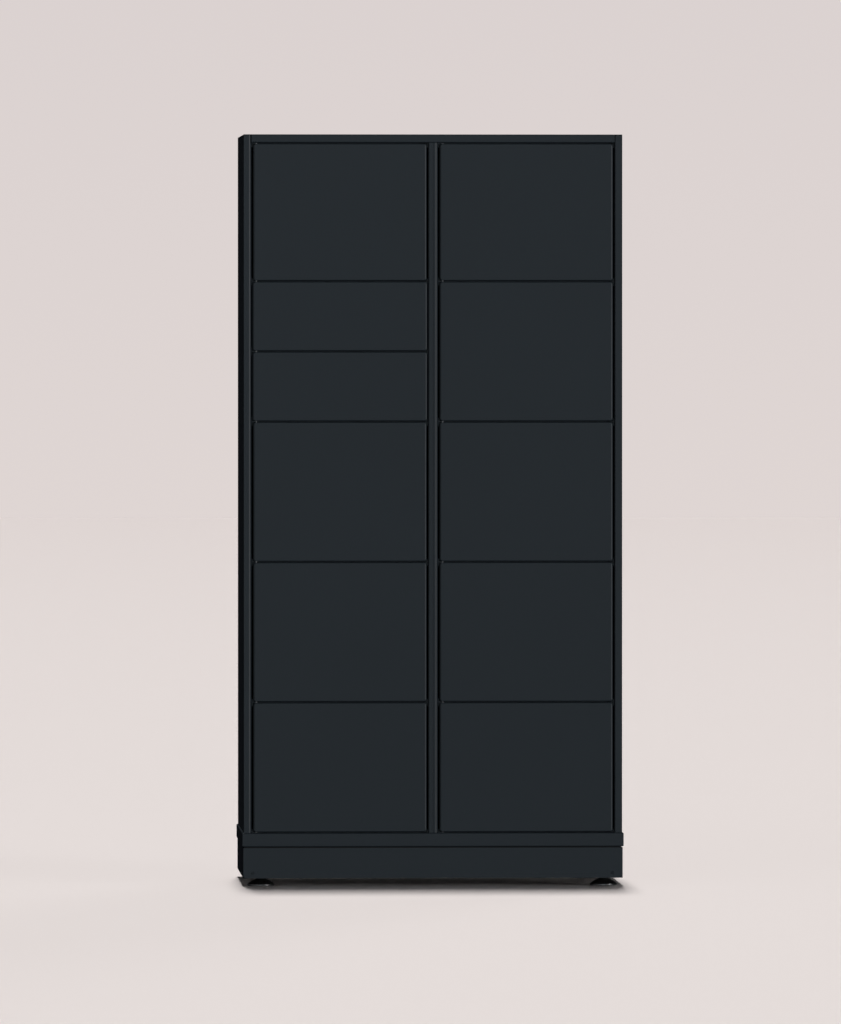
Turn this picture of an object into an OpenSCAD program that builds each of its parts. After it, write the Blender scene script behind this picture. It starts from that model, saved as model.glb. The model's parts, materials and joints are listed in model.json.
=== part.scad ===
// Two-column parcel locker in folded sheet steel: flush hinged doors, a lock with a
// sliding bolt beside each one, a plinth, and four levelling feet.
// The front faces -Y, up is +Z, and the floor is z = 0 under the middle of the locker.

/* [Cabinet] */
// Width of the cabinet body, without the base rail
cabinet_w = 1000; // [960:5:1100]
// Depth from the front of the base rail to the back panels
cabinet_d = 600; // [450:10:750]
// Height from the floor to the top panel
cabinet_h = 1986; // [1950:1:2050]
// Thickness of the folded sheet
sheet_t = 1.5; // [1.2:0.1:1.8]

/* [Doors] */
// Width of a tall door
door_w = 459; // [430:0.5:465]
// Depth of a door's folded edge
door_depth = 16; // [15.5:0.5:17]
// Corner radius of a door
door_corner_r = 7; // [6:0.5:9]
// Bend radius of a door's upright edges
door_side_r = 6; // [2.5:0.5:7]
// Bend radius of a door's upper and lower edges
door_end_r = 3; // [2:0.5:5]
// Gap beside a tall door
side_gap = 4; // [3.5:0.5:6]
// Gap beside a short door
short_side_gap = 2.2; // [2:0.1:4]
// Gap between one door and the next above it
row_gap = 2.2; // [2.2:0.1:4]
// Height of a full row, from gap centre to gap centre
row_pitch = 370.5; // [350:0.5:380]
// Height of the top row, from gap centre to gap centre
top_row_h = 364.5; // [340:0.5:380]
// Height of the bottom row, from gap centre to gap centre
bottom_row_h = 344.5; // [330:0.5:360]
// Height of the header, from the top gap's centre to the top of the cabinet
header_h = 23; // [20:1:30]
// Width of the folded edge round the back of a door
door_lip = 14; // [10:1:20]

/* [Frame] */
// Width of the upright between the two columns
mullion_w = 25.5; // [24:0.5:30]
// Seam between the two halves of that upright
mullion_seam = 0.5; // [0.2:0.1:1]
// Depth of the fold that a stile makes beside the doors
stile_fold = 17.5; // [17:0.5:18]
// Bend radius of the frame's edge on a column's hinge side
hinge_edge_r = 9; // [2.5:0.5:10]
// Bend radius of the frame's edge on a column's lock side
lock_edge_r = 4; // [2.5:0.5:5]
// Bend radius of the header's lower edge
header_edge_r = 3; // [2:0.5:5]
// Bend radius of the base rail's edges
rail_edge_r = 3; // [2:0.5:5]
// Height of the rim round a shelf
shelf_rim = 20; // [16:1:24]
// Thickness of the upper part of that rim, above the gap's centre
shelf_rise = 8; // [6:1:10]

/* [Hinges] */
// Radius of a hinge pin
pin_r = 3; // [2.5:0.1:3.5]
// Radial clearance of a pin in a door
pin_clearance = 0.08; // [0.05:0.01:0.1]
// Distance from a tall door's edge to its pin
pin_inset = 8; // [8:0.5:10]
// Distance from the front face to a pin
pin_back = 5.5; // [5.5:0.5:6]
// Length of a pin on each side of its bracket
pin_reach = 12; // [8:1:15]
// Thickness of a hinge bracket
bracket_t = 1.2; // [0.8:0.1:1.4]

/* [Locks] */
// Size of a lock body across the cavity that holds it
lock_w = 16; // [16:0.1:16.5]
// Depth of a lock body
lock_d = 54; // [40:1:70]
// Height of a lock body
lock_h = 64; // [50:1:80]
// Size of a bolt from front to back
bolt_d = 8; // [6:0.5:8]
// Height of a bolt
bolt_h = 16; // [10:1:20]
// Clearance round a bolt
bolt_clearance = 0.15; // [0.1:0.05:0.2]

/* [Base] */
// How far the base rail stands out from the cabinet
rail_out = 4; // [3:0.5:6]
// Height of the underside of the base rail
rail_z = 105; // [100:1:110]
// Width of the base rail's top face
rail_w = 22; // [21:0.5:22]
// Height of the lower edge of the plinth
plinth_z = 22; // [18:1:24]
// Height of the shadow gap above the plinth
plinth_gap = 3; // [2:0.5:4]
// How far the plinth stands out from the cabinet
plinth_out = 1.5; // [1:0.5:2]
// Radius of the plinth's lower front corners
plinth_corner_r = 9; // [2:1:9]
// Width of a tube of the base frame
tube_w = 25; // [20:1:30]
// Height of a tube of the base frame
tube_h = 40; // [30:1:45]

/* [Feet] */
// Distance from the cabinet's side to the middle of a foot
foot_inset_x = 46; // [44:1:60]
// Distance from the cabinet's front and back to the middle of a foot
foot_inset_y = 60; // [56:1:80]
// Radius of a foot pad
pad_r = 36; // [30:1:38]
// Radius of a foot stud
stud_r = 6; // [5:0.5:6]
// Length of a foot stud
stud_len = 88; // [80:1:90]
// Radial clearance of a stud
stud_clearance = 0.05; // [0.03:0.01:0.1]

/* [Fixings] */
// Radius of a wall-anchor hole in the back panels
anchor_r = 5; // [3:0.5:6]
// Distance between anchor holes across the cabinet
anchor_dx = 800; // [700:10:900]
// Distance between anchor holes up the cabinet
anchor_dz = 1500; // [1450:10:1550]
// Radius of the hole through the cable grommet
grommet_r = 10; // [8:0.5:11]

/* [Hidden] */
$fn = 48;
t = sheet_t;
steel = "#262b2f";
zinc = "#b4b8ba";
dark = "#1c1d1f";

half_w = cabinet_w / 2;
back_y = cabinet_d / 2;
front_y = -back_y + rail_out;
stile_w = half_w - door_w - 2 * side_gap - mullion_w / 2;
open_out = half_w - stile_w;
open_in = mullion_w / 2;
door_back_y = front_y + door_depth;
stop_y = door_back_y + 4.5;
fold_y = front_y + stile_fold;
inside_back_y = back_y - t;
back_fold = 15;
panel_top_z = cabinet_h - t;

// Heights of the rows, from the top down
left_rows = [top_row_h, row_pitch / 2, row_pitch / 2, row_pitch, row_pitch, bottom_row_h];
right_rows = [top_row_h, row_pitch, row_pitch, row_pitch, bottom_row_h];
rows = [left_rows, right_rows];
LEFT = 0;
RIGHT = 1;
columns = [LEFT, RIGHT];
side_name = ["left", "right"];

top_gap_z = cabinet_h - header_h;
bottom_gap_z = gap_z(LEFT, len(left_rows));
rail_top_z = bottom_gap_z - row_gap / 2;
header_z = top_gap_z + row_gap / 2;
floor_z = bottom_gap_z + shelf_rise;
ceiling_z = top_gap_z - shelf_rim + shelf_rise;

hinge_x = [-open_out, open_in];
latch_x = [-open_in, open_out];
pin_y = front_y + pin_back;

bolt_y = door_back_y - 6.5;
bolt_setback = 0.5;
bolt_len = lock_w - bolt_setback;

plinth_top_z = rail_z - plinth_gap;
plinth_h = plinth_top_z - plinth_z;
tube_x = half_w - 2;
tube_front_y = front_y + 2;
tube_back_y = back_y - 2;
tube_z = rail_z - tube_h;
tube_wall = 2;
foot_plate_t = 6;
foot_plate_z = tube_z - foot_plate_t;
foot_x = half_w - foot_inset_x;
foot_front_y = front_y + foot_inset_y;
foot_back_y = back_y - foot_inset_y;
feet = [[-foot_x, foot_front_y], [foot_x, foot_front_y], [-foot_x, foot_back_y], [foot_x, foot_back_y]];
foot_name = ["front_left", "front_right", "back_left", "back_right"];
pad_top_z = 24;
socket_z = 8;
nut_h = 10;
back_plinth_y = back_y - 10;
screw_x = half_w - 24;
screw_z = plinth_z + 13;
screw_r = 2;
side_return_w = 30;
grommet_pos = [380, back_plinth_y, plinth_z + 21];

function sum_first(list, n) = n == 0 ? 0 : list[n - 1] + sum_first(list, n - 1);
function gap_z(column, n) = top_gap_z - sum_first(rows[column], n);
function is_short(column, n) = rows[column][n - 1] < row_pitch * 0.75;
function gap_beside(column, n) = is_short(column, n) ? short_side_gap : side_gap;
function door_mid_z(column, n) = (gap_z(column, n) + gap_z(column, n - 1)) / 2;
function pin_x(column) = hinge_x[column] + side_gap + pin_inset;

// ---- Shared shapes ----

module block(low, high) {
    translate(low) cube(high - low);
}

// Upright slab facing the front, with rounded corners
module slab(x0, x1, z0, z1, y0, y1, r) {
    translate([0, y1, 0]) rotate([90, 0, 0]) linear_extrude(y1 - y0) {
        translate([x0 + r, z0]) square([x1 - x0 - 2 * r, z1 - z0]);
        translate([x0, z0 + r]) square([x1 - x0, z1 - z0 - 2 * r]);
        for (x = [x0 + r, x1 - r], z = [z0 + r, z1 - r]) translate([x, z]) circle(r);
    }
}

// Rectangle with one rounded corner, at the origin
module soft_rect(size, r) {
    translate([r, 0]) square([size.x - r, size.y]);
    translate([0, r]) square([size.x, size.y - r]);
    intersection() {
        square(r);
        translate([r, r]) circle(r);
    }
}

// Section of a sheet that turns through a right angle at the origin
module bent_sheet(along, back, r) {
    difference() {
        soft_rect([along, back], r);
        translate([t, t]) soft_rect([along, back], r - t);
    }
}

// Rectangle with both of its front corners rounded
module nosed_rect(width, depth, r) {
    translate([0, r]) square([width, depth - r]);
    translate([r, 0]) square([width - 2 * r, depth]);
    for (x = [r, width - r]) translate([x, r]) circle(r);
}

// Upright slab whose front edges are rounded as well as its corners
module pillow(x0, x1, z0, z1, y0, y1, corner_r, side_r, end_r) {
    intersection() {
        slab(x0, x1, z0, z1, y0, y1, corner_r);
        translate([x0, y0, z0]) linear_extrude(z1 - z0) nosed_rect(x1 - x0, y1 - y0, side_r);
        translate([x0, y0, z1]) rotate([0, 90, 0])
            linear_extrude(x1 - x0) nosed_rect(z1 - z0, y1 - y0, end_r);
    }
}

module both_sides() {
    children();
    mirror([1, 0, 0]) children();
}

// The space a bolt needs on its way out of its lock, through the sheet beside the door
module bolt_passage(column, clearance) {
    for (n = [1:len(rows[column])]) {
        z = door_mid_z(column, n);
        x = latch_x[column];
        block([x - 1, bolt_y - bolt_d / 2 - clearance, z - bolt_h / 2 - clearance],
              [x + t + bolt_len, bolt_y + bolt_d / 2 + clearance, z + bolt_h / 2 + clearance]);
    }
}

// ---- Doors ----

module door(column, n) {
    gap = gap_beside(column, n);
    x0 = hinge_x[column] + gap;
    x1 = latch_x[column] - gap;
    z0 = gap_z(column, n) + row_gap / 2;
    z1 = gap_z(column, n - 1) - row_gap / 2;
    inner_r = door_corner_r - t;
    stiffener_w = 70;
    stiffener_d = door_depth - 5;
    stiffener_end = 20;
    mid_x = (x0 + x1) / 2;
    mid_z = (z0 + z1) / 2;
    strike_clearance = 0.6;
    color(steel) difference() {
        union() {
            difference() {
                pillow(x0, x1, z0, z1, front_y, door_back_y, door_corner_r, door_side_r, door_end_r);
                pillow(x0 + t, x1 - t, z0 + t, z1 - t, front_y + t, door_back_y + 1,
                       inner_r, door_side_r - t, door_end_r - t);
            }
            difference() {
                slab(x0 + t / 2, x1 - t / 2, z0 + t / 2, z1 - t / 2, door_back_y - t, door_back_y, inner_r);
                slab(x0 + door_lip, x1 - door_lip, z0 + door_lip, z1 - door_lip,
                     door_back_y - t - 1, door_back_y + 1, inner_r);
            }
            difference() {
                block([mid_x - stiffener_w / 2, front_y + t / 2, z0 + stiffener_end],
                      [mid_x + stiffener_w / 2, front_y + t + stiffener_d, z1 - stiffener_end]);
                block([mid_x - stiffener_w / 2 + t, front_y + t, z0],
                      [mid_x + stiffener_w / 2 - t, front_y + stiffener_d, z1]);
            }
        }
        for (z = [z0, z1]) translate([pin_x(column), pin_y, z])
            cylinder(r = pin_r + pin_clearance, h = 4 * t, center = true);
        block([x1 - 2 * t, bolt_y - bolt_d / 2 - strike_clearance, mid_z - bolt_h / 2 - strike_clearance],
              [x1 + t, bolt_y + bolt_d / 2 + strike_clearance, mid_z + bolt_h / 2 + strike_clearance]);
    }
}

// ---- Hinges ----

module hinge_bracket(column, n) {
    z = gap_z(column, n);
    x = hinge_x[column];
    arm = 5;
    tab_t = 1.2;
    tab_h = 10;
    at_top = n == 0;
    at_bottom = n == len(rows[column]);
    difference() {
        union() {
            block([x, pin_y - arm, z - bracket_t / 2], [pin_x(column), pin_y + arm, z + bracket_t / 2]);
            translate([pin_x(column), pin_y, z]) cylinder(r = arm, h = bracket_t, center = true);
            block([x, front_y + hinge_edge_r, at_bottom ? z - bracket_t / 2 : z - tab_h],
                  [x + tab_t, front_y + stile_fold - 1, at_top ? z + bracket_t / 2 : z + tab_h]);
        }
        translate([pin_x(column), pin_y, z]) cylinder(r = pin_r, h = 2 * bracket_t, center = true);
    }
}

module hinge_brackets() {
    color(steel) for (c = columns, n = [0:len(rows[c])]) hinge_bracket(c, n);
}

module hinge_pins() {
    color(zinc) for (c = columns, n = [0:len(rows[c])]) {
        low = n == len(rows[c]) ? bracket_t / 2 : pin_reach;
        high = n == 0 ? bracket_t / 2 : pin_reach;
        translate([pin_x(c), pin_y, gap_z(c, n) - low]) cylinder(r = pin_r, h = low + high);
    }
}

// ---- Locks ----

module lock_bolt(column, n) {
    x = latch_x[column] + bolt_setback;
    z = door_mid_z(column, n);
    color(zinc)
        block([x, bolt_y - bolt_d / 2, z - bolt_h / 2], [x + bolt_len, bolt_y + bolt_d / 2, z + bolt_h / 2]);
}

module lock_bodies(column) {
    x = latch_x[column] + t;
    y = front_y + lock_edge_r;
    color(dark) difference() {
        for (n = [1:len(rows[column])]) {
            z = door_mid_z(column, n);
            block([x, y, z - lock_h / 2], [x + lock_w, y + lock_d, z + lock_h / 2]);
        }
        bolt_passage(column, bolt_clearance);
    }
}

// ---- Cabinet shell ----

module side_shell(edge_r) {
    block([-half_w, front_y, rail_top_z], [-half_w + t, back_y, panel_top_z]);
    translate([-open_out, front_y, rail_top_z]) mirror([1, 0, 0])
        linear_extrude(panel_top_z - rail_top_z) bent_sheet(stile_w, stile_fold, edge_r);
    block([-half_w, inside_back_y, rail_top_z], [-half_w + back_fold, back_y, panel_top_z]);
}

module side_panel_left() {
    color(steel) side_shell(hinge_edge_r);
}

module side_panel_right() {
    color(steel) difference() {
        mirror([1, 0, 0]) side_shell(lock_edge_r);
        bolt_passage(RIGHT, bolt_clearance);
    }
}

module top_panel() {
    rim_h = 16;
    inset = t + 0.2;
    color(steel) difference() {
        union() {
            block([-half_w, front_y, panel_top_z], [half_w, back_y, cabinet_h]);
            block([-half_w + inset, stop_y + 2 * t, panel_top_z - rim_h],
                  [half_w - inset, inside_back_y - 0.2, panel_top_z]);
        }
        block([-half_w + inset + t, stop_y + 3 * t, panel_top_z - rim_h - 1],
              [half_w - inset - t, inside_back_y - 0.2 - t, panel_top_z]);
    }
}

module top_rail() {
    color(steel) {
        translate([-open_out, front_y, header_z]) rotate([90, 0, 90]) linear_extrude(2 * open_out)
            bent_sheet(stop_y + t - front_y, panel_top_z - header_z, header_edge_r);
        block([-open_out, front_y, panel_top_z - t], [open_out, stop_y + t, panel_top_z]);
        both_sides() block([open_in, stop_y, ceiling_z], [open_out, stop_y + t, header_z + t]);
    }
}

module floor_panel() {
    x = open_out + t;
    color(steel) difference() {
        block([-x, stop_y, rail_z], [x, inside_back_y, floor_z]);
        block([-x + t, stop_y + t, rail_z - 1], [x - t, inside_back_y - t, floor_z - t]);
    }
}

module ceiling_panels() {
    color(steel) both_sides() difference() {
        block([open_in, stop_y + t, ceiling_z], [open_out, inside_back_y, header_z]);
        block([open_in + t, stop_y + 2 * t, ceiling_z + t],
              [open_out - t, inside_back_y - t, header_z + 1]);
    }
}

module back_panel_left() {
    x0 = -half_w + back_fold;
    color(steel) difference() {
        block([x0, inside_back_y, rail_top_z], [-mullion_seam / 2, back_y, panel_top_z]);
        for (side = [-1, 1])
            translate([-anchor_dx / 2, back_y, cabinet_h / 2 + 57 + side * anchor_dz / 2])
                rotate([90, 0, 0]) cylinder(r = anchor_r, h = 4 * t, center = true);
    }
}

module back_panel_right() {
    mirror([1, 0, 0]) back_panel_left();
}

module divider_shell(edge_r) {
    translate([-open_in, front_y, rail_top_z]) linear_extrude(header_z - rail_top_z)
        bent_sheet(open_in - mullion_seam / 2, stop_y - front_y, edge_r);
    block([-open_in, stop_y - 1, floor_z], [-open_in + t, inside_back_y, header_z]);
}

module divider_left() {
    color(steel) difference() {
        divider_shell(lock_edge_r);
        bolt_passage(LEFT, bolt_clearance);
    }
}

module divider_right() {
    color(steel) mirror([1, 0, 0]) divider_shell(hinge_edge_r);
}

module liner_left() {
    color(steel)
        block([-open_out - t, fold_y, floor_z], [-open_out, inside_back_y, header_z]);
}

module liner_right() {
    mirror([1, 0, 0]) liner_left();
}

module shelves(column) {
    x0 = column == LEFT ? -open_out : open_in;
    x1 = column == LEFT ? -open_in : open_out;
    lip = 14;
    color(steel) for (n = [1:len(rows[column]) - 1]) {
        z1 = gap_z(column, n) + shelf_rise;
        z0 = z1 - shelf_rim;
        difference() {
            block([x0, stop_y, z0], [x1, inside_back_y, z1]);
            block([x0 + t, stop_y + t, z0 + t], [x1 - t, inside_back_y - t, z1 - t]);
            block([x0 + t, stop_y + lip, z0 - 1], [x1 - t, inside_back_y - t, z0 + 2 * t]);
        }
    }
}

// ---- Base ----

// Channel with its outer edges rounded and its open side facing back, along X from the origin
module channel(length) {
    h = rail_top_z - rail_z;
    rotate([0, 90, 0]) linear_extrude(length) difference() {
        nosed_rect(h, rail_w, rail_edge_r);
        translate([t, t]) nosed_rect(h - 2 * t, rail_w, rail_edge_r - t);
    }
}

// The part of a mitred frame's front member, as a prism through its whole height
module mitre_wedge(x, y0) {
    translate([0, 0, rail_z - 1]) linear_extrude(rail_top_z - rail_z + 2)
        polygon([[-x, y0], [x, y0], [0, y0 + x]]);
}

module base_rail_front() {
    x = half_w + rail_out;
    y0 = front_y - rail_out;
    color(steel) intersection() {
        translate([-x, y0, rail_top_z]) channel(2 * x);
        mitre_wedge(x, y0);
    }
}

module base_rail_sides() {
    x = half_w + rail_out;
    y0 = front_y - rail_out;
    color(steel) both_sides() difference() {
        translate([-x, back_y, rail_top_z]) rotate([0, 0, -90]) channel(back_y - y0);
        mitre_wedge(x, y0);
    }
}

// Tube along X or Y, open at both ends
module tube(low, high) {
    size = high - low;
    bore = size.x > size.y ? [1, -tube_wall, -tube_wall] : [-tube_wall, 1, -tube_wall];
    difference() {
        block(low, high);
        block(low - bore, high + bore);
    }
}

module base_frame() {
    color(dark) {
        tube([-tube_x, tube_front_y, tube_z], [tube_x, tube_front_y + tube_w, rail_z]);
        tube([-tube_x, tube_back_y - tube_w, tube_z], [tube_x, tube_back_y, rail_z]);
        for (x = [-tube_x, -tube_w / 2, tube_x - tube_w])
            tube([x, tube_front_y + tube_w, tube_z], [x + tube_w, tube_back_y - tube_w, rail_z]);
    }
}

module foot_plates() {
    size_x = 84;
    size_y = 90;
    color(dark) for (p = feet) {
        x0 = p.x < 0 ? -tube_x : tube_x - size_x;
        y0 = p.y < 0 ? tube_front_y : tube_back_y - size_y;
        difference() {
            block([x0, y0, foot_plate_z], [x0 + size_x, y0 + size_y, tube_z]);
            translate([p.x, p.y, foot_plate_z - 1])
                cylinder(r = stud_r + stud_clearance, h = foot_plate_t + 2);
        }
    }
}

module foot_jam_nuts() {
    color(zinc) for (p = feet) translate([p.x, p.y, foot_plate_z - nut_h]) difference() {
        cylinder(r = 10.5, h = nut_h, $fn = 6);
        translate([0, 0, -1]) cylinder(r = stud_r + stud_clearance, h = nut_h + 2);
    }
}

module plinth_front() {
    x = half_w + plinth_out;
    y = front_y - plinth_out;
    inner_x = half_w - side_return_w;
    color(steel) difference() {
        union() {
            intersection() {
                slab(-x, x, plinth_z, 2 * plinth_top_z, y, front_y, plinth_corner_r);
                block([-x, y, plinth_z], [x, front_y, plinth_top_z]);
            }
            block([-inner_x, y, plinth_top_z - t], [inner_x, tube_front_y, plinth_top_z]);
            block([-inner_x, y, plinth_z], [inner_x, front_y + 12, plinth_z + t]);
        }
        for (side = [-1, 1]) translate([side * screw_x, y, screw_z])
            rotate([90, 0, 0]) cylinder(r = screw_r + 0.2, h = 4 * plinth_out, center = true);
    }
}

module plinth_sides() {
    x = half_w + plinth_out;
    y1 = back_y - 2;
    color(steel) both_sides() difference() {
        union() {
            block([-x, front_y, plinth_z], [-half_w, y1, plinth_top_z]);
            block([-x, front_y, plinth_z + plinth_corner_r],
                  [-half_w + side_return_w, front_y + t, plinth_top_z]);
            block([-x, front_y, plinth_top_z - t], [-tube_x, y1, plinth_top_z]);
            block([-x, front_y, plinth_z], [-half_w + 12, y1, plinth_z + t]);
        }
        translate([-screw_x, front_y, screw_z])
            rotate([90, 0, 0]) cylinder(r = screw_r, h = 4 * t, center = true);
    }
}

module plinth_back() {
    color(steel) difference() {
        union() {
            block([-tube_x, back_plinth_y, plinth_z + t], [tube_x, back_plinth_y + t, foot_plate_z]);
            block([-tube_x + 90, back_plinth_y, foot_plate_z], [tube_x - 90, back_plinth_y + t, tube_z]);
            block([-tube_x + 90, back_plinth_y - 15, tube_z - t], [tube_x - 90, back_plinth_y + t, tube_z]);
        }
        translate(grommet_pos) rotate([90, 0, 0])
            cylinder(r = grommet_r + 4, h = 6 * t, center = true);
    }
}

module plinth_screws() {
    head_h = 2.2;
    head_r = 4;
    shank = 9;
    color(steel) for (side = [-1, 1]) translate([side * screw_x, front_y - plinth_out, screw_z])
        rotate([90, 0, 0]) difference() {
            union() {
                cylinder(r = head_r, h = head_h);
                translate([0, 0, -shank]) cylinder(r = screw_r, h = shank + 1);
            }
            translate([0, 0, head_h - 1.4]) cylinder(r = 2, h = 2, $fn = 6);
        }
}

// ---- Feet ----

module foot_stud(i) {
    wrench_h = 8;
    lift = 0.5;
    color(zinc) translate([feet[i].x, feet[i].y, 0]) {
        translate([0, 0, socket_z + lift]) cylinder(r = stud_r, h = stud_len);
        translate([0, 0, pad_top_z + lift]) cylinder(r = 9, h = wrench_h, $fn = 6);
    }
}

module foot_pad(i) {
    dome_r = 48.5;
    rim_h = 4;
    neck_r = 12;
    color(zinc) translate([feet[i].x, feet[i].y, 0]) rotate_extrude() difference() {
        union() {
            square([pad_r, rim_h]);
            intersection() {
                square([pad_r, pad_top_z]);
                translate([0, rim_h - sqrt(dome_r * dome_r - pad_r * pad_r)]) circle(dome_r);
            }
            square([neck_r, pad_top_z]);
        }
        translate([0, socket_z]) square([stud_r + stud_clearance, pad_top_z]);
    }
}

// ---- Electrics ----

module lock_controller() {
    low = [120, 60, floor_z - t - 40];
    high = [340, 200, floor_z - t];
    ear = 15;
    color(dark) difference() {
        union() {
            block(low, high);
            block([low.x - ear, low.y, high.z - 2], [high.x + ear, high.y, high.z]);
        }
        block(low + [2, 2, 2], high - [2, 2, 2]);
        for (x = [low.x - ear / 2, high.x + ear / 2], y = [low.y + 20, high.y - 20])
            translate([x, y, high.z - 3]) cylinder(r = 2.2, h = 4);
    }
}

module cable_grommet() {
    flange = 3;
    color(dark) translate(grommet_pos) rotate([-90, 0, 0]) difference() {
        union() {
            translate([0, 0, -flange]) cylinder(r = grommet_r + 7, h = flange);
            cylinder(r = grommet_r + 4, h = t);
            translate([0, 0, t]) cylinder(r = grommet_r + 7, h = flange);
        }
        translate([0, 0, -flange - 1]) cylinder(r = grommet_r, h = 2 * flange + t + 2);
    }
}

for (c = columns, n = [1:len(rows[c])]) {
    door(c, n);
    lock_bolt(c, n);
}
lock_bodies(LEFT);  // lock_bodies_left
lock_bodies(RIGHT);  // lock_bodies_right
hinge_brackets();
hinge_pins();
side_panel_left();
side_panel_right();
top_panel();
top_rail();
floor_panel();
ceiling_panels();
back_panel_left();
back_panel_right();
divider_left();
divider_right();
liner_left();
liner_right();
shelves(LEFT);  // shelves_left
shelves(RIGHT);  // shelves_right
base_rail_front();
base_rail_sides();
base_frame();
foot_plates();
foot_jam_nuts();
plinth_front();
plinth_sides();
plinth_back();
plinth_screws();
for (i = [0:3]) {
    foot_stud(i);
    foot_pad(i);
}
lock_controller();
cable_grommet();
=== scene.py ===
import json
import math

import bmesh
import bpy
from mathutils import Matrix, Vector


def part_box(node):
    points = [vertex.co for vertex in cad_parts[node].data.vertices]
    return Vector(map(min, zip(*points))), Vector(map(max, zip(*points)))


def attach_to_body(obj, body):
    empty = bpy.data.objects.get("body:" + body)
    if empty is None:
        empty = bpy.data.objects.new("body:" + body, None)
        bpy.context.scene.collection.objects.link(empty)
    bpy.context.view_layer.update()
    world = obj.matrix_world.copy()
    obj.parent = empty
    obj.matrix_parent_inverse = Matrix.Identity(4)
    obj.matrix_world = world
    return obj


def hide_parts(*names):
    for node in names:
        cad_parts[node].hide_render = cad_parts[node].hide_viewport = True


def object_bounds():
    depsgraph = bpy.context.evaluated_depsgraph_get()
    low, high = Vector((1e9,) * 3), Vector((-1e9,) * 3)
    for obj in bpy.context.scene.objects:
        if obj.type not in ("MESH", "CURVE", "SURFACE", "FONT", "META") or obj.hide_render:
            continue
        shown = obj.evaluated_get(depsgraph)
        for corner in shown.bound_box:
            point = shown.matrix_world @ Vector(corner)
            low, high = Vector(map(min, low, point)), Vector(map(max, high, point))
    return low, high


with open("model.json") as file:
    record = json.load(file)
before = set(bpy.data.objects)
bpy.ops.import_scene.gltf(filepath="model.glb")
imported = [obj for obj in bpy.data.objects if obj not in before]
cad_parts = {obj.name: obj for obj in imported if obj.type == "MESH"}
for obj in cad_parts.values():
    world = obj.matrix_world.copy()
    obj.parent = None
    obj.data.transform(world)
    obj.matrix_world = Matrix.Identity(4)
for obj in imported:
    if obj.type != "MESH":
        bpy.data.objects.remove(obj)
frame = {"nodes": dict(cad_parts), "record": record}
CAD_LOW, CAD_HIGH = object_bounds()

MM = 0.001
FULL_TURN = math.radians(360)
BODIES = frame["record"]["behaviour"]["bodies"]
JOINTS = {joint["name"]: joint for joint in frame["record"]["behaviour"]["joints"]}
SHEET = 1.5 * MM


# ---------------------------------------------------------------- camera and stage

SENSOR = 36.0
LENS = 425.0
DISTANCE = 31.92
# The camera stands to the left, so the left side shows as a narrow strip
VIEW_AZIMUTH = math.radians(-2.38)
VIEW_ELEVATION = math.radians(0.9)
# The point of the front face that is at the middle of the picture
AIM = Vector((-0.0336, CAD_LOW.y, 0.9893))


def make_camera():
    data = bpy.data.cameras.new("camera")
    data.lens = LENS
    data.sensor_width = SENSOR
    cam = bpy.data.objects.new("camera", data)
    bpy.context.scene.collection.objects.link(cam)
    back = Vector((math.sin(VIEW_AZIMUTH) * math.cos(VIEW_ELEVATION),
                   -math.cos(VIEW_AZIMUTH) * math.cos(VIEW_ELEVATION),
                   math.sin(VIEW_ELEVATION)))
    cam.location = AIM + back * DISTANCE
    cam.rotation_mode = "QUATERNION"
    cam.rotation_quaternion = (-back).to_track_quat("-Z", "Y")
    data.clip_start = 1.0
    data.clip_end = 200.0
    bpy.context.scene.camera = cam


def new_object(name, mesh):
    obj = bpy.data.objects.new(name, mesh)
    bpy.context.scene.collection.objects.link(obj)
    return obj


BACKDROP_TOP = (0.7084, 0.6445, 0.6348, 1.0)
BACKDROP_LOW = (0.7375, 0.6700, 0.6531, 1.0)
# Slopes of the view, up from level, where the backdrop has its low and its top colour
BACKDROP_SLOPES = (-0.016, 0.027)
FILL_BEHIND = (0.004, 0.004, 0.005, 1.0)
FILL_AHEAD = (0.048, 0.052, 0.056, 1.0)
# Floor colours: painted light, lighter near the camera and darker far away, standing in for light that
# falls off with distance
FLOOR_NEAR_PAINTED_LIGHT = (0.828, 0.771, 0.751, 1.0)
FLOOR_FAR_PAINTED_SHADE = (0.779, 0.715, 0.697, 1.0)


def ramp(tree, low, high):
    node = tree.nodes.new("ShaderNodeValToRGB")
    for element, (place, colour) in zip(node.color_ramp.elements, (low, high)):
        element.position = place
        element.color = colour
    return node


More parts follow.
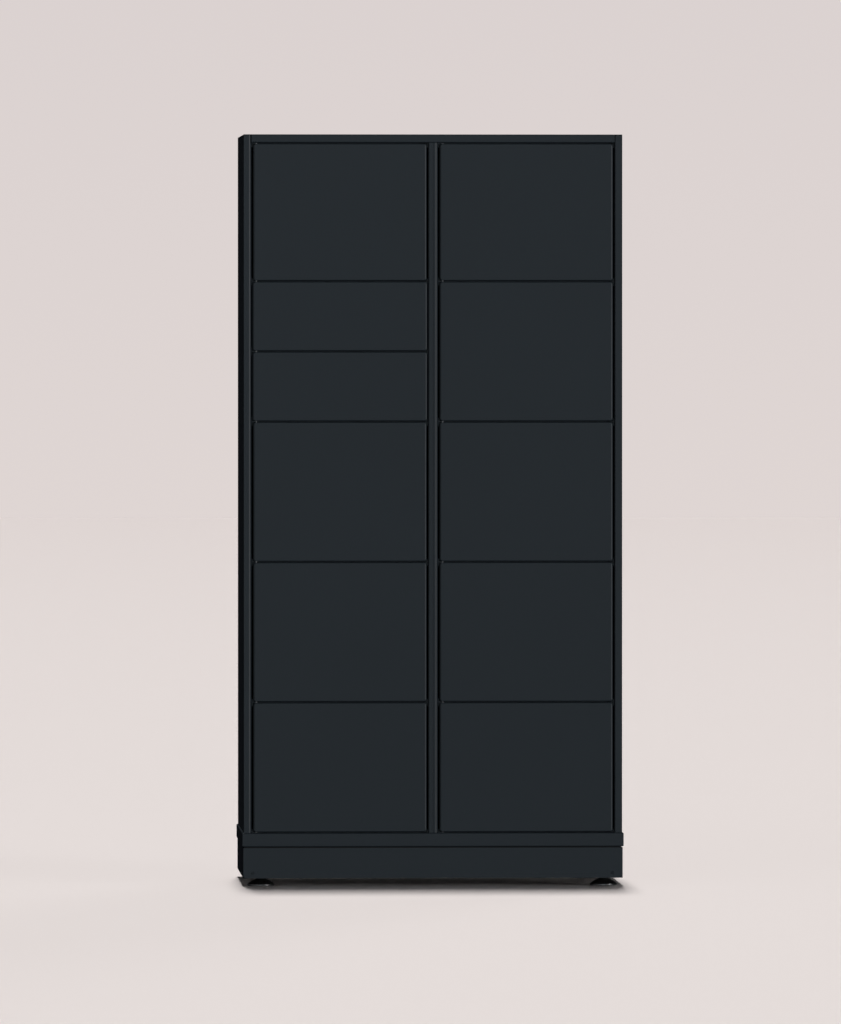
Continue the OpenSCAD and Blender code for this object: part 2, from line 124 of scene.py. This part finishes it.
def make_world():
    """A pale backdrop, with soft light from the front half of the room only."""
    world = bpy.data.worlds.new("studio")
    world.use_nodes = True
    tree = world.node_tree
    tree.nodes.clear()
    out = tree.nodes.new("ShaderNodeOutputWorld")
    coord = tree.nodes.new("ShaderNodeTexCoord")
    split = tree.nodes.new("ShaderNodeSeparateXYZ")
    tree.links.new(coord.outputs["Generated"], split.inputs[0])
    up = tree.nodes.new("ShaderNodeMapRange")
    up.inputs["From Min"].default_value = BACKDROP_SLOPES[0]
    up.inputs["From Max"].default_value = BACKDROP_SLOPES[1]
    tree.links.new(split.outputs["Z"], up.inputs["Value"])
    backdrop = ramp(tree, (0.0, BACKDROP_LOW), (1.0, BACKDROP_TOP))
    tree.links.new(up.outputs["Result"], backdrop.inputs["Fac"])
    ahead = tree.nodes.new("ShaderNodeMapRange")
    ahead.inputs["From Min"].default_value = 0.1
    ahead.inputs["From Max"].default_value = -0.9
    tree.links.new(split.outputs["Y"], ahead.inputs["Value"])
    fill = ramp(tree, (0.0, FILL_BEHIND), (1.0, FILL_AHEAD))
    tree.links.new(ahead.outputs["Result"], fill.inputs["Fac"])
    seen = tree.nodes.new("ShaderNodeBackground")
    light = tree.nodes.new("ShaderNodeBackground")
    tree.links.new(backdrop.outputs["Color"], seen.inputs["Color"])
    tree.links.new(fill.outputs["Color"], light.inputs["Color"])
    path = tree.nodes.new("ShaderNodeLightPath")
    mix = tree.nodes.new("ShaderNodeMixShader")
    tree.links.new(path.outputs["Is Camera Ray"], mix.inputs[0])
    tree.links.new(light.outputs[0], mix.inputs[1])
    tree.links.new(seen.outputs[0], mix.inputs[2])
    tree.links.new(mix.outputs[0], out.inputs["Surface"])
    bpy.context.scene.world = world


def soft_sun(name, azimuth, elevation, softness, strength, colour=(1.0, 1.0, 1.0), highlight=True):
    """Even light from far away. Azimuth 0 is the front, and 90 the right; angles are in degrees."""
    data = bpy.data.lights.new(name, "SUN")
    data.angle = math.radians(softness)
    data.energy = strength
    data.color = colour
    az, el = math.radians(azimuth), math.radians(elevation)
    source = Vector((math.sin(az) * math.cos(el), -math.cos(az) * math.cos(el), math.sin(el)))
    sun = bpy.data.objects.new(name, data)
    sun.location = source * 8.0
    sun.rotation_mode = "QUATERNION"
    sun.rotation_quaternion = source.to_track_quat("Z", "Y")
    sun.visible_glossy = highlight
    bpy.context.scene.collection.objects.link(sun)


def make_lights():
    # A strip of light overhead, a little behind the piece, so its soft shadow falls forwards
    for i, elevation in enumerate((75.4, 77.9, 80.4, 82.9, 85.4)):
        soft_sun("overhead_%d" % i, 180.0, elevation, 2.7, 0.54, (1.0, 0.985, 0.98))
    # Low lights, which reach the upright faces and hardly light the floor
    soft_sun("key", 52.0, 2.5, 11.0, 1.45)
    soft_sun("front", -2.0, 0.5, 24.0, 0.3, (0.88, 1.0, 1.08))
    soft_sun("front_left", -28.0, 5.0, 60.0, 0.35)
    soft_sun("left_fill", -84.0, 5.0, 20.0, 0.2)
    soft_sun("rear_fill", 160.0, 3.0, 16.0, 1.6, highlight=False)


def make_floor():
    """A plain sheet whose colour is painted lighter near the camera and darker far away: painted light
    that stands in for light falling off with distance. Only the camera sees it, so it lights nothing.
    """
    mesh = bpy.data.meshes.new("floor")
    back, near, wide = 60.0, 45.0, 60.0
    corners = [(-wide, -near, 0), (wide, -near, 0), (wide, back, 0), (-wide, back, 0)]
    mesh.from_pydata(corners, [], [(0, 1, 2, 3)])
    floor = new_object("floor", mesh)
    mat = bpy.data.materials.new("floor_paper")
    mat.use_nodes = True
    shader = mat.node_tree.nodes["Principled BSDF"]
    tree = mat.node_tree
    coord = tree.nodes.new("ShaderNodeTexCoord")
    split = tree.nodes.new("ShaderNodeSeparateXYZ")
    away = tree.nodes.new("ShaderNodeMapRange")
    away.inputs["From Min"].default_value = -1.0
    away.inputs["From Max"].default_value = back
    # Painted light: the floor's colour goes from lighter near the camera to darker far away
    tone = ramp(tree, (0.0, FLOOR_NEAR_PAINTED_LIGHT), (1.0, FLOOR_FAR_PAINTED_SHADE))
    tree.links.new(coord.outputs["Object"], split.inputs[0])
    tree.links.new(split.outputs["Y"], away.inputs["Value"])
    tree.links.new(away.outputs["Result"], tone.inputs["Fac"])
    tree.links.new(tone.outputs["Color"], shader.inputs["Base Color"])
    shader.inputs["Roughness"].default_value = 1.0
    shader.inputs["Specular IOR Level"].default_value = 0.0
    mesh.materials.append(mat)
    floor.visible_glossy = False
    floor.visible_diffuse = False


# ---------------------------------------------------------------- materials

def powder_coat(name, colour, roughness=0.43, speck=0.03):
    """Fine-texture powder coat: small soft pits, a faint cloudy change of tone, and a satin sheen."""
    mat = bpy.data.materials.new(name)
    mat.use_nodes = True
    tree = mat.node_tree
    shader = tree.nodes["Principled BSDF"]
    shader.inputs["Specular IOR Level"].default_value = 0.22
    coord = tree.nodes.new("ShaderNodeTexCoord")
    grain = tree.nodes.new("ShaderNodeTexNoise")
    grain.inputs["Scale"].default_value = 900.0
    grain.inputs["Detail"].default_value = 3.0
    cloud = tree.nodes.new("ShaderNodeTexNoise")
    cloud.inputs["Scale"].default_value = 2.3
    cloud.inputs["Detail"].default_value = 4.0
    for tex in (grain, cloud):
        tree.links.new(coord.outputs["Object"], tex.inputs["Vector"])
    tone = tree.nodes.new("ShaderNodeValToRGB")
    tone.color_ramp.elements[0].position = 0.3
    tone.color_ramp.elements[1].position = 0.7
    tone.color_ramp.elements[0].color = (*[c * (1 - speck) for c in colour], 1.0)
    tone.color_ramp.elements[1].color = (*[c * (1 + speck) for c in colour], 1.0)
    tree.links.new(cloud.outputs["Fac"], tone.inputs["Fac"])
    tree.links.new(tone.outputs["Color"], shader.inputs["Base Color"])
    rough = tree.nodes.new("ShaderNodeMapRange")
    rough.inputs["To Min"].default_value = roughness - 0.04
    rough.inputs["To Max"].default_value = roughness + 0.05
    tree.links.new(grain.outputs["Fac"], rough.inputs["Value"])
    tree.links.new(rough.outputs["Result"], shader.inputs["Roughness"])
    bump = tree.nodes.new("ShaderNodeBump")
    bump.inputs["Strength"].default_value = 0.18
    bump.inputs["Distance"].default_value = 0.0002
    tree.links.new(grain.outputs["Fac"], bump.inputs["Height"])
    tree.links.new(bump.outputs["Normal"], shader.inputs["Normal"])
    return mat


def metal(name, colour, roughness, grain_scale=(400.0, 400.0, 40.0)):
    """Bare or plated metal with a fine upright grain."""
    mat = bpy.data.materials.new(name)
    mat.use_nodes = True
    tree = mat.node_tree
    shader = tree.nodes["Principled BSDF"]
    shader.inputs["Metallic"].default_value = 1.0
    coord = tree.nodes.new("ShaderNodeTexCoord")
    stretch = tree.nodes.new("ShaderNodeMapping")
    stretch.inputs["Scale"].default_value = grain_scale
    noise = tree.nodes.new("ShaderNodeTexNoise")
    noise.inputs["Scale"].default_value = 1.0
    noise.inputs["Detail"].default_value = 4.0
    tree.links.new(coord.outputs["Object"], stretch.inputs["Vector"])
    tree.links.new(stretch.outputs["Vector"], noise.inputs["Vector"])
    tone = tree.nodes.new("ShaderNodeValToRGB")
    tone.color_ramp.elements[0].color = (*[c * 0.8 for c in colour], 1.0)
    tone.color_ramp.elements[1].color = (*[min(1.0, c * 1.12) for c in colour], 1.0)
    tree.links.new(noise.outputs["Fac"], tone.inputs["Fac"])
    tree.links.new(tone.outputs["Color"], shader.inputs["Base Color"])
    rough = tree.nodes.new("ShaderNodeMapRange")
    rough.inputs["To Min"].default_value = roughness - 0.08
    rough.inputs["To Max"].default_value = roughness + 0.1
    tree.links.new(noise.outputs["Fac"], rough.inputs["Value"])
    tree.links.new(rough.outputs["Result"], shader.inputs["Roughness"])
    bump = tree.nodes.new("ShaderNodeBump")
    bump.inputs["Strength"].default_value = 0.1
    bump.inputs["Distance"].default_value = 0.0001
    tree.links.new(noise.outputs["Fac"], bump.inputs["Height"])
    tree.links.new(bump.outputs["Normal"], shader.inputs["Normal"])
    return mat


def moulded(name, colour, roughness, scale=600.0, strength=0.25):
    """Moulded plastic or rubber with a fine matt texture."""
    mat = bpy.data.materials.new(name)
    mat.use_nodes = True
    tree = mat.node_tree
    shader = tree.nodes["Principled BSDF"]
    coord = tree.nodes.new("ShaderNodeTexCoord")
    noise = tree.nodes.new("ShaderNodeTexNoise")
    noise.inputs["Scale"].default_value = scale
    noise.inputs["Detail"].default_value = 3.0
    tree.links.new(coord.outputs["Object"], noise.inputs["Vector"])
    tone = tree.nodes.new("ShaderNodeValToRGB")
    tone.color_ramp.elements[0].color = (*[c * 0.75 for c in colour], 1.0)
    tone.color_ramp.elements[1].color = (*[c * 1.25 for c in colour], 1.0)
    tree.links.new(noise.outputs["Fac"], tone.inputs["Fac"])
    tree.links.new(tone.outputs["Color"], shader.inputs["Base Color"])
    shader.inputs["Roughness"].default_value = roughness
    bump = tree.nodes.new("ShaderNodeBump")
    bump.inputs["Strength"].default_value = strength
    bump.inputs["Distance"].default_value = 0.0002
    tree.links.new(noise.outputs["Fac"], bump.inputs["Height"])
    tree.links.new(bump.outputs["Normal"], shader.inputs["Normal"])
    return mat


COAT = (0.0222, 0.0296, 0.0365)
PRIMER = (0.008, 0.008, 0.009)
DOOR_PAINT = powder_coat("door_paint", COAT)
CABINET_PAINT = powder_coat("cabinet_paint", COAT)
FRAME_PAINT = powder_coat("frame_paint", PRIMER, roughness=0.6)
ZINC = metal("zinc_steel", (0.42, 0.425, 0.43), 0.38)
DULL_PIN = metal("dull_pin", (0.16, 0.163, 0.168), 0.5)
NICKEL = metal("foot_metal", (0.33, 0.335, 0.34), 0.29)
PLASTIC = moulded("lock_plastic", (0.02, 0.02, 0.022), 0.5)
RUBBER = moulded("black_rubber", (0.012, 0.012, 0.012), 0.75)
SLOT_MATERIALS = {
    "door_paint": DOOR_PAINT, "cabinet_paint": CABINET_PAINT, "frame_paint": FRAME_PAINT,
    "zinc_steel": ZINC, "foot_metal": NICKEL, "lock_plastic": PLASTIC, "black_rubber": RUBBER,
}


# Visible edge radius of each piece that is taken from the CAD model
EDGE = {
    "hinge_brackets": 0.2 * MM, "lock_controller": 1.2 * MM, "lock_bodies_left": 1.0 * MM,
    "lock_bodies_right": 1.0 * MM, "base_frame": 1.0 * MM, "foot_plates": 0.8 * MM, "top_panel": 0.6 * MM,
}
PLAIN_EDGE = 0.4 * MM
BOLT_EDGE = 0.8 * MM
SAME_POINT = 0.001 * MM


def dress_cad_nodes():
    """Give each CAD piece its material, and turn its sharp edges into small radii."""
    slot_of = {s["node"]: s["material_slot"] for s in frame["record"]["subparts"]}
    for name, obj in frame["nodes"].items():
        obj.data.materials.clear()
        obj.data.materials.append(DULL_PIN if name == "hinge_pins" else SLOT_MATERIALS[slot_of[name]])
        if name.startswith("door_"):
            continue
        obj.data.shade_smooth()
        weld = obj.modifiers.new("weld", "WELD")
        weld.merge_threshold = SAME_POINT
        edge = obj.modifiers.new("edge", "BEVEL")
        edge.limit_method = "ANGLE"
        edge.angle_limit = math.radians(50)
        edge.width = BOLT_EDGE if name.startswith("lock_bolt") else EDGE.get(name, PLAIN_EDGE)
        edge.segments = 2
        normals = obj.modifiers.new("flat_faces", "WEIGHTED_NORMAL")
        normals.weight = 100


# ---------------------------------------------------------------- mesh tools

LEAST_CORNER = 0.4 * MM
SHARP_DEG = 38


def rounded_rect(low, high, inset, radius, steps=8):
    """Outline of a rounded rectangle in X and Z. The inset is given as (sides, ends)."""
    x0, x1 = low[0] + inset[0], high[0] - inset[0]
    z0, z1 = low[1] + inset[1], high[1] - inset[1]
    rx = max(radius - inset[0], LEAST_CORNER)
    rz = max(radius - inset[1], LEAST_CORNER)
    points = []
    corners = ((x1 - rx, z1 - rz, 0), (x0 + rx, z1 - rz, 90),
               (x0 + rx, z0 + rz, 180), (x1 - rx, z0 + rz, 270))
    for cx, cz, start in corners:
        for k in range(steps + 1):
            a = math.radians(start + 90 * k / steps)
            points.append((cx + rx * math.cos(a), cz + rz * math.sin(a)))
    return points


def circle(centre, radius, sides):
    return [(centre[0] + radius * math.cos(FULL_TURN * k / sides),
             centre[1] + radius * math.sin(FULL_TURN * k / sides)) for k in range(sides)]


def arc(centre, radius, start, end, steps):
    """Points of an arc in a plane; the angles are in degrees."""
    return [(centre[0] + radius * math.cos(math.radians(start + (end - start) * k / steps)),
             centre[1] + radius * math.sin(math.radians(start + (end - start) * k / steps)))
            for k in range(steps + 1)]


def smooth_by_angle(mesh):
    """Shade a mesh smooth, with sharp edges where its faces meet at a large angle."""
    bm = bmesh.new()
    bm.from_mesh(mesh)
    bmesh.ops.remove_doubles(bm, verts=bm.verts, dist=1e-7)
    bmesh.ops.recalc_face_normals(bm, faces=bm.faces)
    for f in bm.faces:
        f.smooth = True
    for e in bm.edges:
        e.smooth = not (len(e.link_faces) == 2 and e.calc_face_angle(0.0) > math.radians(SHARP_DEG))
    bm.to_mesh(mesh)
    bm.free()


def keep_faces_flat(obj):
    weight = obj.modifiers.new("flat_faces", "WEIGHTED_NORMAL")
    weight.keep_sharp = True
    weight.weight = 100


def finish_mesh(name, bm, material):
    mesh = bpy.data.meshes.new(name)
    bm.to_mesh(mesh)
    bm.free()
    smooth_by_angle(mesh)
    mesh.materials.append(material)
    obj = new_object(name, mesh)
    keep_faces_flat(obj)
    return obj


def skin(bm, loops, cap=(True, True), closed=False):
    """Join loops of points, each with the same number of points, into a skin."""
    rings = [[bm.verts.new(p) for p in loop] for loop in loops]
    n = len(rings[0])
    pairs = list(zip(rings, rings[1:])) + ([(rings[-1], rings[0])] if closed else [])
    for a, b in pairs:
        for i in range(n):
            bm.faces.new((a[i], a[(i + 1) % n], b[(i + 1) % n], b[i]))
    if cap[0] and not closed:
        bm.faces.new(rings[0])
    if cap[1] and not closed:
        bm.faces.new(rings[-1])


def loft(name, loops, material, cap=(True, True), closed=False):
    bm = bmesh.new()
    skin(bm, loops, cap, closed)
    return finish_mesh(name, bm, material)


def hexagon(corner_r):
    """Radius of a hexagon in each direction."""
    flat = corner_r * math.cos(math.radians(30))
    return lambda a: flat / math.cos((a % math.radians(60)) - math.radians(30))


def turned(name, rings, material, place, axis="Z", count=48, cap=(False, False), closed=True):
    """A turned body. Each ring is (radius, height); either may be a function of the direction."""
    place = Vector(place)
    loops = []
    for radius, height in rings:
        loop = []
        for k in range(count):
            a = FULL_TURN * k / count
            r = radius(a) if callable(radius) else radius
            h = height(a) if callable(height) else height
            u, v = r * math.cos(a), r * math.sin(a)
            loop.append(place + (Vector((u, v, h)) if axis == "Z" else Vector((u, h, v))))
        loops.append(loop)
    return loft(name, loops, material, cap, closed)


def attach(obj, node, replaces=False):
    """Fix a piece to the body that a node belongs to. It may take the place of that node."""
    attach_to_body(obj, node if node in BODIES else "cabinet")
    if replaces:
        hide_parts(node)
    return obj


def box_loops(low, high):
    outline = ((low[0], low[1]), (high[0], low[1]), (high[0], high[1]), (low[0], high[1]))
    return [[(x, y, z) for x, y in outline] for z in (low[2], high[2])]


def hole_loops(centre, radius, half_height, sides=24):
    outline = circle(centre, radius, sides)
    return [[(x, y, z) for x, y in outline] for z in (centre[2] - half_height, centre[2] + half_height)]


def cut_out(obj, shapes):
    """Cut openings out of a mesh. Each shape is given by its lower and its upper loop."""
    bm = bmesh.new()
    for loops in shapes:
        skin(bm, loops)
    bmesh.ops.recalc_face_normals(bm, faces=bm.faces)
    mesh = bpy.data.meshes.new("cutter")
    bm.to_mesh(mesh)
    bm.free()
    cutter = new_object("cutter", mesh)
    obj.modifiers.clear()
    cut = obj.modifiers.new("cut", "BOOLEAN")
    cut.object = cutter
    cut.operation = "DIFFERENCE"
    cut.solver = "EXACT"
    graph = bpy.context.evaluated_depsgraph_get()
    done = bpy.data.meshes.new_from_object(obj.evaluated_get(graph))
    old = obj.data
    done.name = old.name + "_cut"
    obj.modifiers.clear()
    obj.data = done
    smooth_by_angle(done)
    keep_faces_flat(obj)
    bpy.data.objects.remove(cutter)
    bpy.data.meshes.remove(mesh)
    bpy.data.meshes.remove(old)


# ---------------------------------------------------------------- doors

DOOR_CORNER = 7 * MM
SIDE_BEND = 6 * MM
END_BEND = 3 * MM
DOOR_LIP = 14 * MM
BACK_BEND = 2.4 * MM
PIN_BACK = 5.5 * MM
PIN_HOLE = 3.08 * MM
BOLT_BACK = 9.5 * MM
# Half the depth and half the height of the slot that a bolt enters
STRIKE = (4.6 * MM, 8.6 * MM)
# Width and depth of the stiffener, and its distance from the door's ends
STIFFENER = (70 * MM, 11 * MM, 20 * MM)


def door_section(y0, y1):
    """Section of a folded door edge: ((inset from the side, inset from the end), y) points."""
    t = SHEET
    points = []
    for k in range(9):
        a = math.radians(90 * k / 8)
        turn_in, turn_back = 1 - math.sin(a), 1 - math.cos(a)
        points.append(((SIDE_BEND * turn_in, END_BEND * turn_in), y0 + (SIDE_BEND * turn_back)))
    back = [(BACK_BEND + u, y1 - BACK_BEND + v) for u, v in arc((0, 0), BACK_BEND, 180, 90, 6)]
    lip = [(DOOR_LIP, y1), (DOOR_LIP, y1 - t)]
    inner = BACK_BEND - t
    back_inside = [(BACK_BEND + u, y1 - BACK_BEND + v) for u, v in arc((0, 0), inner, 90, 180, 4)]
    points += [((u, u), y) for u, y in back + lip + back_inside]
    for k in range(7):
        a = math.radians(90 - 90 * k / 6)
        turn_in, turn_back = 1 - math.sin(a), 1 - math.cos(a)
        side = t + (SIDE_BEND - t) * turn_in
        end = t + (END_BEND - t) * turn_in
        points.append(((side, end), y0 + t + (SIDE_BEND - t) * turn_back))
    return points


def make_stiffener(node, low, high):
    """Hat channel down the middle of the door's back, with bent corners."""
    width, depth, end = STIFFENER
    t, r = SHEET, 3 * MM
    mid = (low.x + high.x) / 2
    y = low.y + t
    half = width / 2
    outer = [(-half, y)] + arc((-half + r, y + depth - r), r, 180, 90, 5) \
        + arc((half - r, y + depth - r), r, 90, 0, 5) + [(half, y)]
    inner = [(half - t, y)] + arc((half - r, y + depth - r), r - t, 0, 90, 5) \
        + arc((-half + r, y + depth - r), r - t, 90, 180, 5) + [(-half + t, y)]
    profile = [(mid + u, v) for u, v in outer + inner]
    loops = [[(u, v, z) for u, v in profile] for z in (low.z + end, high.z - end)]
    attach(loft(node + "_stiffener", loops, DOOR_PAINT), node)


def make_door(node):
    low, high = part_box(node)
    loops = [[(x, y, z) for x, z in rounded_rect((low.x, low.z), (high.x, high.z), inset, DOOR_CORNER)]
             for inset, y in door_section(low.y, high.y)]
    door = loft(node + "_pan", loops, DOOR_PAINT)
    pin_x = JOINTS[node + "_hinge"]["pos_m"][0]
    mid_z = (low.z + high.z) / 2
    bolt_y = low.y + BOLT_BACK
    cut_out(door, [
        hole_loops((pin_x, low.y + PIN_BACK, low.z), PIN_HOLE, 2.5 * SHEET),
        hole_loops((pin_x, low.y + PIN_BACK, high.z), PIN_HOLE, 2.5 * SHEET),
        box_loops((high.x - 3 * SHEET, bolt_y - STRIKE[0], mid_z - STRIKE[1]),
                  (high.x + SHEET, bolt_y + STRIKE[0], mid_z + STRIKE[1])),
    ])
    attach(door, node, replaces=True)
    make_stiffener(node, low, high)


def make_doors():
    for node in sorted(n for n in frame["nodes"] if n.startswith("door_")):
        make_door(node)


# ---------------------------------------------------------------- feet and screws

FEET = ("front_left", "front_right", "back_left", "back_right")
STUD_BORE = 6.1 * MM
STUD_RADIUS = 6 * MM
THREAD_PITCH = 1.75 * MM
THREAD_DEPTH = 0.95 * MM


def make_foot_pad(node):
    """Pressed dome with a rolled rim and a neck, on a ribbed rubber sole."""
    low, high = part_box(node)
    place = ((low.x + high.x) / 2, (low.y + high.y) / 2, 0.0)
    r = (high.x - low.x) / 2
    top = high.z
    bore = STUD_BORE
    dome = [(u, v - 28.5 * MM) for u, v in arc((0, 0), 48.5 * MM, 43, 72.5, 12)]
    rim = arc((r - 1.6 * MM, 3.0 * MM), 1.6 * MM, -80, 48, 8)
    neck = arc((14.6 * MM, 20.2 * MM), 2.0 * MM, -100, -180, 5) + [(12 * MM, top - 0.9 * MM)] \
        + arc((11.2 * MM, top - 0.8 * MM), 0.8 * MM, 0, 90, 4)
    shell = rim + [(u, v) for u, v in dome if u < r - 2.5 * MM] + neck \
        + [(bore + 0.6 * MM, top), (bore, top - 0.6 * MM), (bore, 8 * MM), (r - 5 * MM, 2.2 * MM)]
    attach(turned(node + "_dome", shell, NICKEL, place, count=72), node, replaces=True)
    sole = [(3 * MM, 0.0)]
    for k in range(7):
        edge = (7 + 4 * k) * MM
        sole += [(edge, 0.0), (edge, 0.9 * MM), (edge + 1.2 * MM, 0.9 * MM), (edge + 1.2 * MM, 0.0)]
    sole += [(r - 1.8 * MM, 0.0)] + arc((r - 1.4 * MM, 0.8 * MM), 0.8 * MM, -90, 0, 4) \
        + [(r - 0.6 * MM, 2.0 * MM), (3 * MM, 2.0 * MM)]
    attach(turned(node + "_sole", sole, RUBBER, place, count=72), node)


def ring(place, z, radii):
    """Loop of points round the Z direction, with a radius for each point."""
    n = len(radii)
    return [place + Vector((q * math.cos(FULL_TURN * k / n), q * math.sin(FULL_TURN * k / n), z))
            for k, q in enumerate(radii)]


def thread_radii(z, sides):
    """Radii of a screw thread at one height."""
    radii = []
    for k in range(sides):
        turn = (z / THREAD_PITCH - k / sides) % 1.0
        flank = min(1.0, max(0.0, abs(turn - 0.5) * 2.6 - 0.25))
        radii.append(STUD_RADIUS - THREAD_DEPTH * flank)
    return radii


def make_foot_stud(node):
    """Threaded rod with a hexagon that takes a wrench."""
    low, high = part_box(node)
    place = Vector(((low.x + high.x) / 2, (low.y + high.y) / 2, 0.0))
    root = STUD_RADIUS - THREAD_DEPTH
    sides, per_pitch = 20, 6
    start, end = low.z + 16 * MM, high.z - 1.5 * MM
    step = THREAD_PITCH / per_pitch
    loops = [ring(place, low.z, [3 * MM] * sides), ring(place, low.z + 1 * MM, [root] * sides),
             ring(place, start, [root] * sides)]
    for row in range(int((end - start) / THREAD_PITCH * per_pitch)):
        z = start + (row + 0.5) * step
        loops.append(ring(place, z, thread_radii(z, sides)))
    loops += [ring(place, end, [root] * sides),
              ring(place, high.z, [STUD_RADIUS - 1.6 * MM] * sides)]
    attach(loft(node + "_rod", loops, ZINC), node, replaces=True)
    wrench = hex_rings(9 * MM, 24.5 * MM, 32.5 * MM, root)
    attach(turned(node + "_hexagon", wrench, ZINC, place), node)


def hex_rings(corner_r, z0, z1, bore):
    """Rings of a hexagonal nut or collar whose corners are chamfered at 30 degrees."""
    across = hexagon(corner_r)
    chamfer_r = corner_r * 0.88
    slope = math.tan(math.radians(30))

    def cut(a):
        return max(0.0, across(a) - chamfer_r) * slope

    edge = 0.6 * MM
    face_r = chamfer_r * 0.97
    return [(bore, z0 + edge), (bore + edge, z0), (face_r, z0), (across, lambda a: z0 + cut(a)),
            (across, lambda a: z1 - cut(a)), (face_r, z1), (bore + edge, z1), (bore, z1 - edge)]


def make_jam_nuts():
    low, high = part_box("foot_jam_nuts")
    for i, name in enumerate(FEET):
        stud_low, stud_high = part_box("foot_stud_" + name)
        place = ((stud_low.x + stud_high.x) / 2, (stud_low.y + stud_high.y) / 2, 0.0)
        nut = turned("jam_nut_" + name, hex_rings(10.5 * MM, low.z, high.z, STUD_BORE), ZINC, place)
        attach(nut, "foot_jam_nuts", replaces=i == 0)


def make_plinth_screws():
    """Low domed heads with a hexagon socket."""
    low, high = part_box("plinth_screws")
    face = low.y + 2.2 * MM
    head_r, crown_r, shank_r = 4 * MM, 2.4 * MM, 2 * MM
    dome = head_r - crown_r
    socket = hexagon(2 * MM)
    crown = [(crown_r + dome * math.sin(math.radians(a)), -0.6 * MM - dome * math.cos(math.radians(a)))
             for a in (15, 30, 45, 60, 75, 90)]
    rings = [(0.3 * MM, -0.8 * MM), (socket, -0.8 * MM), (socket, -1.9 * MM), (crown_r, -2.2 * MM)] + crown
    rings += [(head_r, 0.0), (shank_r, 0.0), (shank_r, 8.2 * MM), (1.3 * MM, high.y - face)]
    for i, x in enumerate((low.x + head_r, high.x - head_r)):
        place = (x, face, (low.z + high.z) / 2)
        screw = turned("plinth_screw_%d" % i, rings, CABINET_PAINT, place, axis="Y",
                       cap=(True, True), closed=False)
        attach(screw, "plinth_screws", replaces=i == 0)


def make_grommet():
    """Rubber ring with a groove that holds the sheet."""
    low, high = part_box("cable_grommet")
    place = ((low.x + high.x) / 2, low.y, (low.z + high.z) / 2)
    deep = high.y - low.y
    edge, lip = 1.2 * MM, 3 * MM
    outer, waist, bore = 17 * MM, 14 * MM, 10 * MM
    rings = arc((bore + edge, edge), edge, 180, 270, 4) + arc((outer - edge, edge), edge, 270, 360, 4)
    rings += [(outer, lip), (waist, lip), (waist, deep - lip), (outer, deep - lip)]
    rings += arc((outer - edge, deep - edge), edge, 0, 90, 4)
    rings += arc((bore + edge, deep - edge), edge, 90, 180, 4)
    ring_piece = turned("grommet_ring", rings, RUBBER, place, axis="Y")
    attach(ring_piece, "cable_grommet", replaces=True)


def make_seam_shade_strip():
    """Thin black strip behind the seam of the upright. It keeps light out of the seam, and its near-black
    colour is painted shade that makes the seam show dark.
    """
    low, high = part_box("divider_left")
    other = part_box("divider_right")[0]
    mid = (high.x + other.x) / 2
    half, front, back = 3 * MM, low.y + 1.9 * MM, low.y + 2.5 * MM
    profile = ((mid - half, front), (mid + half, front), (mid + half, back), (mid - half, back))
    loops = [[(x, y, z) for x, y in profile] for z in (low.z + 2 * MM, high.z - 2 * MM)]
    # Painted shade: a near-black sheet put behind the seam so that the seam shows dark
    attach(loft("seam_shade_strip", loops, RUBBER), "divider_left")


def make_small_parts():
    for name in FEET:
        make_foot_pad("foot_pad_" + name)
        make_foot_stud("foot_stud_" + name)
    make_jam_nuts()
    make_plinth_screws()
    make_grommet()
    make_seam_shade_strip()


make_camera()
make_world()
make_lights()
make_floor()
dress_cad_nodes()
make_doors()
make_small_parts()
bpy.context.scene.view_settings.view_transform = "Standard"
